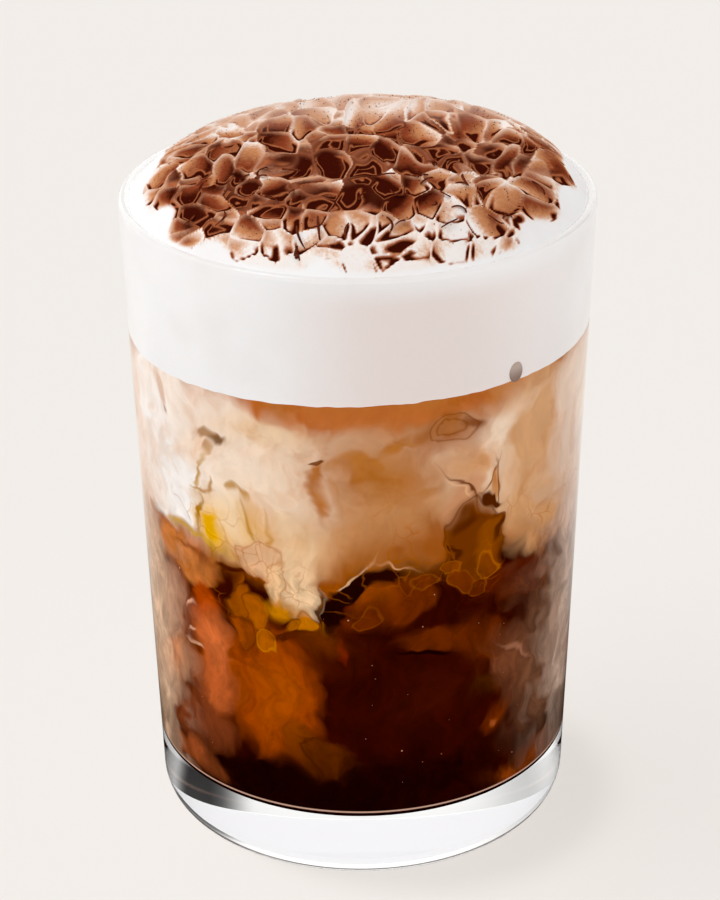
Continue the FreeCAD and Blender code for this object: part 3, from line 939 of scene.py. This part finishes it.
def disc_grid(steps):
    """Points (u, v) of a square grid bent onto the unit disc, its rim's points in order, and its faces."""
    spots = np.linspace(-1, 1, steps + 1)
    a, b = np.meshgrid(spots, spots, indexing="ij")
    wide = np.abs(a) >= np.abs(b)
    safe_a, safe_b = np.where(a == 0, 1, a), np.where(b == 0, 1, b)
    turn = np.where(wide, math.pi / 4 * b / safe_a, math.pi / 2 - math.pi / 4 * a / safe_b)
    reach = np.where(wide, a, b)
    u, v = reach * np.cos(turn), reach * np.sin(turn)

    def at(i, j):
        return i * (steps + 1) + j

    rim = (
        [at(i, 0) for i in range(steps)]
        + [at(steps, j) for j in range(steps)]
        + [at(i, steps) for i in range(steps, 0, -1)]
        + [at(0, j) for j in range(steps, 0, -1)]
    )
    faces = [
        (at(i, j), at(i + 1, j), at(i + 1, j + 1), at(i, j + 1)) for i in range(steps) for j in range(steps)
    ]
    return u.ravel(), v.ravel(), rim, faces


def oval(x, y, middle, half):
    """How near (x, y) is to an oval's middle: 1 there, and fading past its edge."""
    return np.exp(-(((x - middle[0]) / half[0]) ** 2 + ((y - middle[1]) / half[1]) ** 2))


def cocoa_cover(x, y):
    """How thickly the cocoa lies, from 0 to 1, at x and y in mm."""
    warp = lattice_noise(np.stack([x, y, 0 * x], -1) / 6, 5) - 0.5
    away = np.hypot(x / 36, (y + 2.5) / 37.5) + 0.14 * warp
    return 1 - smooth_step(away, 0.92, 0.99)


def cocoa_depth(x, y):
    """How dark the crust is, from 0 to 1, at x and y in mm."""
    warp = lattice_noise(np.stack([x, y, 0 * x], -1) / 7, 6) - 0.5
    depth = 0.42
    for strength, middle, half in DEPTH_OVALS:
        depth = depth + strength * oval(x, y, middle, half)
    # paler at the front edge, and paler over the back as a painted sheen
    depth = depth - 0.4 * smooth_step(-y, 27, 33) - 0.2 * smooth_step(y, 4, 18)
    return np.clip(depth + 0.3 * warp, 0, 1.3)


def crust(x, y, z):
    """The crust of the mound at points in mm: its lift in mm, and the masks that its colours follow."""
    cocoa = bpy.context.scene.cold_brew_cocoa
    # lengths up the mound count as they look from the front, so that the cells look round there
    crown = np.max(z)
    along = FLAT_SHARE * y + STEEP_SHARE * (z - crown) * (1 - 2 * smooth_step(y, -6, 10))
    ahead = np.maximum(0, -9 - along)
    thin = smooth_step(ahead, 1, 7)
    start_x, start_y, start_z = LATTICE_START
    points = np.stack([x + start_x, along - 0.25 * ahead + start_y, 0 * z + start_z], -1)
    for size, strength, salt in ((6.0, 2.0, 11), (2.4, 0.8, 17)):
        shift = np.stack([lattice_noise(points / size, salt + k) for k in range(3)], -1) - 0.5
        points = points + shift * 2 * strength * (1 - 0.55 * thin)[..., None]
    cell = cocoa.cell / MM
    wall, chance, middle = nearest_cells(points / cell, 3)
    wall = wall * cell
    cover, depth = cocoa_cover(x, y), cocoa_depth(x, y)
    turn = TAU * (chance * 5.7 % 1)
    # painted shade: each cell is darker towards one side, as relief lit from one way
    painted_cell_shade = (middle[..., 0] * np.cos(turn) + middle[..., 1] * np.sin(turn)) * 1.6
    patch = lattice_noise(points / 5.5, 23)
    # the ridges lift the relief, and their mask also pales the colour as a painted highlight
    ridge = np.exp(-((wall / 0.25) ** 2)) * smooth_step(patch, 0.2, 0.5)
    # the dark lines lie on one side of each cell's wall: grooves of cocoa that also carry a painted shadow
    aside = middle[..., 1] / (np.linalg.norm(middle, axis=-1) + 1e-6)
    side = smooth_step(aside + 1.1 * (chance - 0.5), -0.5, 0.3)
    beside = (wall - 0.5 + 0.15 * thin) / (0.25 - 0.03 * thin)
    line = np.exp(-(beside**2)) * side * smooth_step(cover, 0.1, 0.5)
    # painted sheen: the lines fade over the back of the crust
    line = line * (1 - 0.7 * smooth_step(y, 2, 14))
    shade = np.clip(depth * (0.66 + 0.6 * chance) + 0.4 * painted_cell_shade * (0.4 + depth), 0, 1)
    lift = cocoa.ridge / MM * (ridge - 0.5 * line) * smooth_step(cover, 0.02, 0.4)
    lift += 0.10 * (lattice_noise(points / 1.3, 31) - 0.5) * cover
    return lift, {"dust": cover, "line": line, "ridge": ridge * cover, "shade": shade * cover}


def scatter_spots(total, seed, keep):
    """Repeatable spots (x, y) in mm on the mound, kept by a function's chance."""
    random = np.random.default_rng(seed)
    found = []
    while len(found) < total:
        x, y = random.uniform(-37, 37, 2)
        if math.hypot(x, y) < 36.5 and random.random() < keep(x, y):
            found.append((x, y))
    return found, random


def spot_cover(x, y):
    return float(cocoa_cover(np.array([x]), np.array([y]))[0])


def spot_height(x, y):
    """Height of the mound at a spot in mm, in mm."""
    return float(mound_height(np.array([x]) * MM, np.array([y]) * MM)[0]) / MM


# ---------------------------------------------------------------------------------------------------------
# Operators
# ---------------------------------------------------------------------------------------------------------


class COLDBREW_OT_glass(bpy.types.Operator):
    """Turn the tumbler on its axis, with its rounded foot, floor and lip"""

    bl_idname = "cold_brew.glass"
    bl_label = "Make Glass"

    def execute(self, context):
        g = context.scene.cold_brew_glass
        lip = 0.45 * g.rim_wall
        corners = [
            (0, 0, 0),
            (g.foot_radius, 0, g.foot_round),
            (g.rim_radius, g.height, lip),
            (inner_radius(g.height), g.height, lip),
            (inner_radius(g.base), g.base, g.floor_round),
            (0, g.base, 0),
        ]
        profile = split_runs(rounded(corners, 12), 6 * MM)
        made = piece(
            "glass_tumbler_wall", *lathe(profile, 256), glass_material(), "clear_glass", ["glass_tumbler"]
        )
        made.visible_shadow = False
        made.visible_diffuse = False
        return {"FINISHED"}


class COLDBREW_OT_brew(bpy.types.Operator):
    """Fill the bottom of the glass with black coffee, up to the lobes of the milk"""

    bl_idname = "cold_brew.brew"
    bl_label = "Make Black Coffee"

    def execute(self, context):
        g, seat = context.scene.cold_brew_glass, context.scene.cold_brew_drink.seat
        low = g.base - seat
        high = g.base * 2
        corners = [
            (0, low, 0),
            (inner_radius(low) + seat, low, g.floor_round),
            (inner_radius(high) + seat, high, 0),
        ]
        profile = split_runs(rounded(corners, 12), 5 * MM)[:-1]
        material = drink_material("Black Coffee", 0.4, floor_mirror=True)
        points, faces = layer(profile, None, surface_of("cold_brew", upward=False))
        made = piece("black_coffee", points, faces, material, "black_coffee", ["cold_brew"])
        made.visible_diffuse = False
        return {"FINISHED"}


class COLDBREW_OT_milk(bpy.types.Operator):
    """Lay the marbled milk between the black coffee and the foam"""

    bl_idname = "cold_brew.milk"
    bl_label = "Make Milky Coffee"

    def execute(self, context):
        material = drink_material("Milky Coffee", 0.5)
        low, high = surface_of("cold_brew", upward=False), surface_of("milky_coffee", upward=False)
        points, faces = layer(None, low, high)
        made = piece("milky_coffee_marbled", points, faces, material, "milk_marbling", ["milky_coffee"])
        made.visible_diffuse = False
        return {"FINISHED"}


class COLDBREW_OT_foam(bpy.types.Operator):
    """Pile the cream foam, with the cells and ridges of its cocoa crust as real relief"""

    bl_idname = "cold_brew.foam"
    bl_label = "Make Foam"

    def execute(self, context):
        scene = context.scene
        g, foam, seat = scene.cold_brew_glass, scene.cold_brew_foam, scene.cold_brew_drink.seat
        rows = FOAM_ROWS
        edge = g.height - foam.edge_drop
        u, v, rim, faces = disc_grid(FOAM_STEPS)
        reach = inner_radius(edge)
        x, y = u * reach, v * reach
        z = mound_height(x, y)
        lift, masks = crust(x / MM, y / MM, z / MM)
        fade = 1 - smooth_step(np.hypot(u, v), FOAM_EDGE_SHARE, 1.0)
        z = z + lift * fade * MM
        points = list(zip(x, y, z))
        for mask in masks.values():
            mask *= fade
        underside = surface_of("cream_foam", upward=True)
        turns = np.arctan2(v[rim], u[rim])
        inside = reach * FOAM_EDGE_SHARE
        low = np.array([underside(inside * math.cos(t), inside * math.sin(t)) for t in turns])
        ragged = lattice_noise(np.stack([np.cos(turns), np.sin(turns), 0 * turns], -1) * 22, 41) - 0.5
        low = low + ragged * 0.25 * MM
        total, last = len(rim), rim
        for k in range(1, rows + 1):
            heights = edge - 0.15 * MM + (low - edge) * (k - 1) / (rows - 1)
            first = len(points)
            radii = inner_radius(heights) + seat
            points += list(zip(radii * np.cos(turns), radii * np.sin(turns), heights))
            new = list(range(first, first + total))
            faces += [(last[i], new[i], new[(i + 1) % total], last[(i + 1) % total]) for i in range(total)]
            last = new
        points.append((0, 0, underside(0, 0)))
        faces += [(last[(i + 1) % total], last[i], len(points) - 1) for i in range(total)]
        made = piece("cream_foam_cap", points, faces, foam_material(), "foam", ["cream_foam"])
        for name, values in masks.items():
            attribute = made.data.attributes.new(name, "FLOAT", "POINT")
            padded = np.pad(values, (0, len(points) - len(values)))
            attribute.data.foreach_set("value", padded.astype(np.float32))
        return {"FINISHED"}


class COLDBREW_OT_curls(bpy.types.Operator):
    """Scatter thin chocolate curls over the foam"""

    bl_idname = "cold_brew.curls"
    bl_label = "Make Chocolate Curls"

    def execute(self, context):
        cocoa = context.scene.cold_brew_cocoa
        spots, random = scatter_spots(cocoa.curls, 7, lambda x, y: spot_cover(x, y) * (y < -14))
        points, faces = [], []
        for x, y in spots:
            heading, bend = random.uniform(0, TAU), random.uniform(-2.6, 2.6)
            long, wide = random.uniform(1.6, 3.6), random.uniform(0.18, 0.28)
            steps = 9
            for i in range(steps + 1):
                t = i / steps
                across = Vector((-math.sin(heading), math.cos(heading)))
                girth = wide * (0.35 + 0.65 * math.sin(math.pi * min(1, 0.12 + t * 0.8)))
                z = spot_height(x, y) + 0.5 + 0.25 * math.sin(3 * t + bend)
                for s, lift in ((-1, 0), (0, 0.16), (1, 0), (0, -0.12)):
                    points.append((x + across.x * girth * s, y + across.y * girth * s, z + lift))
                x += math.cos(heading) * long / steps
                y += math.sin(heading) * long / steps
                if math.hypot(x, y) > 37.2:
                    x, y = x * 0.98, y * 0.98
                heading += bend / steps * (1.4 - 0.6 * t)
            start = len(points) - 4 * (steps + 1)
            for i in range(steps):
                a, b = start + 4 * i, start + 4 * (i + 1)
                faces += [(a + k, a + (k + 1) % 4, b + (k + 1) % 4, b + k) for k in range(4)]
            faces += [tuple(start + k for k in (3, 2, 1, 0)), tuple(start + 4 * steps + k for k in range(4))]
        piece("chocolate_curls", np.array(points) * MM, faces, chocolate_material(), "cocoa")
        return {"FINISHED"}


class COLDBREW_OT_grains(bpy.types.Operator):
    """Scatter cocoa grains over the foam"""

    bl_idname = "cold_brew.grains"
    bl_label = "Make Cocoa Grains"

    def execute(self, context):
        cocoa = context.scene.cold_brew_cocoa
        spots, random = scatter_spots(cocoa.grains, 19, lambda x, y: 0.02 + 0.9 * spot_cover(x, y))
        corners = np.array([(1, 0, 0), (-1, 0, 0), (0, 1, 0), (0, -1, 0), (0, 0, 1), (0, 0, -1)], float)
        sides = [(0, 2, 4), (2, 1, 4), (1, 3, 4), (3, 0, 4), (2, 0, 5), (1, 2, 5), (3, 1, 5), (0, 3, 5)]
        points, faces = [], []
        for x, y in spots:
            size = random.uniform(0.05, 0.13)
            shape = corners * size * random.uniform(0.6, 1.3, (6, 1))
            start = len(points)
            points += list(shape + (x, y, spot_height(x, y) + 0.35 * size + 0.1))
            faces += [tuple(start + k for k in side) for side in sides]
        piece("cocoa_grains", np.array(points) * MM, faces, chocolate_material(), "cocoa")
        return {"FINISHED"}


class COLDBREW_OT_bubbles(bpy.types.Operator):
    """Cling small bubbles to the inside of the glass, and one large one under the foam"""

    bl_idname = "cold_brew.bubbles"
    bl_label = "Make Bubbles"

    def execute(self, context):
        g, drink = context.scene.cold_brew_glass, context.scene.cold_brew_drink
        random = np.random.default_rng(29)
        points, faces = [], []

        def bubble(azimuth, z, radii, bands=6, around=10):
            start = len(points)
            out = Vector((math.sin(azimuth), -math.cos(azimuth), 0))
            along = Vector((math.cos(azimuth), math.sin(azimuth), 0))
            centre = out * (inner_radius(z) + drink.seat) + Vector((0, 0, z))
            for i in range(bands + 1):
                tilt = math.pi * i / bands
                for k in range(around if 0 < i < bands else 1):
                    turn = TAU * k / around
                    way = (
                        along * radii[0] * math.sin(tilt) * math.cos(turn)
                        + out * radii[1] * math.sin(tilt) * math.sin(turn)
                        + Vector((0, 0, radii[2] * math.cos(tilt)))
                    )
                    points.append(tuple(centre + way))
            faces.extend(fan_faces(start, start + 1, around))
            for i in range(bands - 2):
                first = start + 1 + i * around
                faces.extend(f[::-1] for f in ring_faces(first, first + around, around))
            faces.extend(fan_faces(len(points) - 1, len(points) - 1 - around, around, flip=True))

        for _ in range(drink.bubbles):
            azimuth = random.uniform(-math.pi, math.pi)
            z = (13 + 72 * random.random() ** 1.5) * MM
            size = drink.bubble * (0.3 + 0.7 * random.random() ** 3)
            if z > g.base + 4 * MM:
                bubble(azimuth, z, (size, size * 0.7, size))
        bubble(math.radians(41), 93.4 * MM, (1.4 * MM, 0.4 * MM, 1.8 * MM), 16, 28)
        piece("wall_bubbles", points, faces, bubble_material(), "foam")
        return {"FINISHED"}


SKY_VALUE = 0.80
# Soft boxes in the sky: the way to each, the cosines at its edge and middle, and the light that it adds.
SOFT_BOXES = [
    ((-0.6, 0.0, 0.8), 0.80, 0.97, 0.9),
    ((0.0, 0.9, 0.43), 0.78, 0.96, 0.3),
    ((0.66, 0.62, 0.43), 0.94, 0.985, -0.72),
]


class COLDBREW_OT_stage(bpy.types.Operator):
    """Set the pale floor, the soft light and the camera"""

    bl_idname = "cold_brew.stage"
    bl_label = "Make Stage"

    def execute(self, context):
        stage = context.scene.cold_brew_stage
        self.make_floor(context, stage)
        self.make_light(context)
        self.make_camera(context, stage)
        context.scene.view_settings.view_transform = "Standard"
        return {"FINISHED"}

    def make_floor(self, context, stage):
        half = stage.floor_size / 2
        mesh = bpy.data.meshes.new("floor")
        corners = [(-half, -half), (half, -half), (half, half), (-half, half)]
        mesh.from_pydata([(x, y, -stage.floor_gap) for x, y in corners], [], [(0, 1, 2, 3)])
        mesh.materials.append(self.floor_material(stage))
        floor = bpy.data.objects.new("floor", mesh)
        context.scene.collection.objects.link(floor)

    def floor_material(self, stage):
        """A pale floor, with a painted dark reflection in front for what mirrors it, and painted light,
        brighter, for what shines through.
        """
        material, tree, shader, _ = new_material("Pale Floor")
        point = tree.add("ShaderNodeTexCoord").outputs["Object"]
        parts = tree.add("ShaderNodeSeparateXYZ", {0: point}).outputs
        aside = tree.math("ABSOLUTE", parts["X"])
        # painted reflection: a dark patch in front of the glass that only mirrored rays see
        painted_dark_reflection = tree.math("MULTIPLY", tree.range(aside, 0.3, 0.14), tree.range(parts["Y"], 0.14, 0.02))
        path = tree.add("ShaderNodeLightPath").outputs
        mirrored = tree.math("SUBTRACT", path["Is Glossy Ray"], path["Is Transmission Ray"], clamp=True)
        # painted light: the floor is brighter to rays that come through the glass
        colour = tree.mix(path["Is Transmission Ray"], stage.backdrop, tone(252, 251, 254))
        colour = tree.mix(tree.math("MULTIPLY", mirrored, painted_dark_reflection), colour, BLACK)
        tree.link(colour, shader.inputs["Base Color"])
        shader.inputs["Roughness"].default_value = 0.9
        shader.inputs["Specular IOR Level"].default_value = 0.0
        return material

    def make_light(self, context):
        world = bpy.data.worlds.new("Soft Studio")
        context.scene.world = world
        world.use_nodes = True
        tree = Tree(world.node_tree)
        way = tree.add("ShaderNodeTexCoord").outputs["Generated"]
        sky = world.node_tree.nodes["Background"]
        sky.inputs["Color"].default_value = (1.0, 0.985, 0.97, 1)
        total = None
        for toward, low, high, gain in SOFT_BOXES:
            unit = Vector(toward).normalized()
            dot = tree.add("ShaderNodeVectorMath", {0: way, 1: tuple(unit)}, operation="DOT_PRODUCT")
            lobe = tree.range(dot.outputs["Value"], low, high, 0.0, gain)
            total = lobe if total is None else tree.math("ADD", total, lobe)
        level = tree.math("ABSOLUTE", tree.add("ShaderNodeSeparateXYZ", {0: way}).outputs["Z"])
        total = tree.math("ADD", total, tree.range(level, 0.0, 0.8, SKY_VALUE + 0.34, SKY_VALUE - 0.16))
        tree.link(total, sky.inputs["Strength"])
        sun = bpy.data.lights.new("key", "SUN")
        sun.energy = 0.4
        sun.angle = math.radians(18)
        sun.color = (0.95, 1.0, 1.05)
        lamp = bpy.data.objects.new("key", sun)
        lamp.rotation_euler = Vector((-0.38, 0.14, 1.0)).to_track_quat("Z", "Y").to_euler()
        context.scene.collection.objects.link(lamp)

    def make_camera(self, context, stage):
        data = bpy.data.cameras.new("camera")
        data.lens = stage.lens
        data.clip_start, data.clip_end = 0.01, 50
        back = Vector((0, -math.cos(stage.elevation), math.sin(stage.elevation)))
        camera = bpy.data.objects.new("camera", data)
        turn = (-back).to_track_quat("-Z", "Y").to_matrix() @ Matrix.Rotation(stage.roll, 3, "Z")
        stand = Matrix.Translation(Vector((0, 0, stage.aim_height)) + back * stage.distance)
        camera.matrix_world = stand @ turn.to_4x4()
        context.scene.collection.objects.link(camera)
        context.scene.camera = camera


class COLDBREW_PT_panel(bpy.types.Panel):
    """Lists what the add-on makes"""

    bl_idname = "COLDBREW_PT_panel"
    bl_label = "Cold Brew"
    bl_space_type = "VIEW_3D"
    bl_region_type = "UI"
    bl_category = "Cold Brew"

    def draw(self, context):
        for operator in OPERATORS:
            self.layout.operator(operator.bl_idname)
        for name in SETTINGS:
            group = getattr(context.scene, name)
            box = self.layout.box()
            for key in group.bl_rna.properties.keys():
                if key not in ("rna_type", "name"):
                    box.prop(group, key)


SETTINGS = {
    "cold_brew_glass": GlassSettings,
    "cold_brew_drink": DrinkSettings,
    "cold_brew_foam": FoamSettings,
    "cold_brew_cocoa": CocoaSettings,
    "cold_brew_stage": StageSettings,
}
OPERATORS = [
    COLDBREW_OT_stage,
    COLDBREW_OT_glass,
    COLDBREW_OT_brew,
    COLDBREW_OT_milk,
    COLDBREW_OT_foam,
    COLDBREW_OT_curls,
    COLDBREW_OT_grains,
    COLDBREW_OT_bubbles,
]


def register():
    for cls in [*SETTINGS.values(), *OPERATORS, COLDBREW_PT_panel]:
        bpy.utils.register_class(cls)
    for name, cls in SETTINGS.items():
        setattr(bpy.types.Scene, name, bpy.props.PointerProperty(type=cls))


def unregister():
    for name in SETTINGS:
        delattr(bpy.types.Scene, name)
    for cls in reversed([*SETTINGS.values(), *OPERATORS, COLDBREW_PT_panel]):
        bpy.utils.unregister_class(cls)


def main():
    register()
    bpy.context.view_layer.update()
    for operator in OPERATORS:
        group, name = operator.bl_idname.split(".")
        getattr(getattr(bpy.ops, group), name)()


if __name__ == "__main__":
    main()
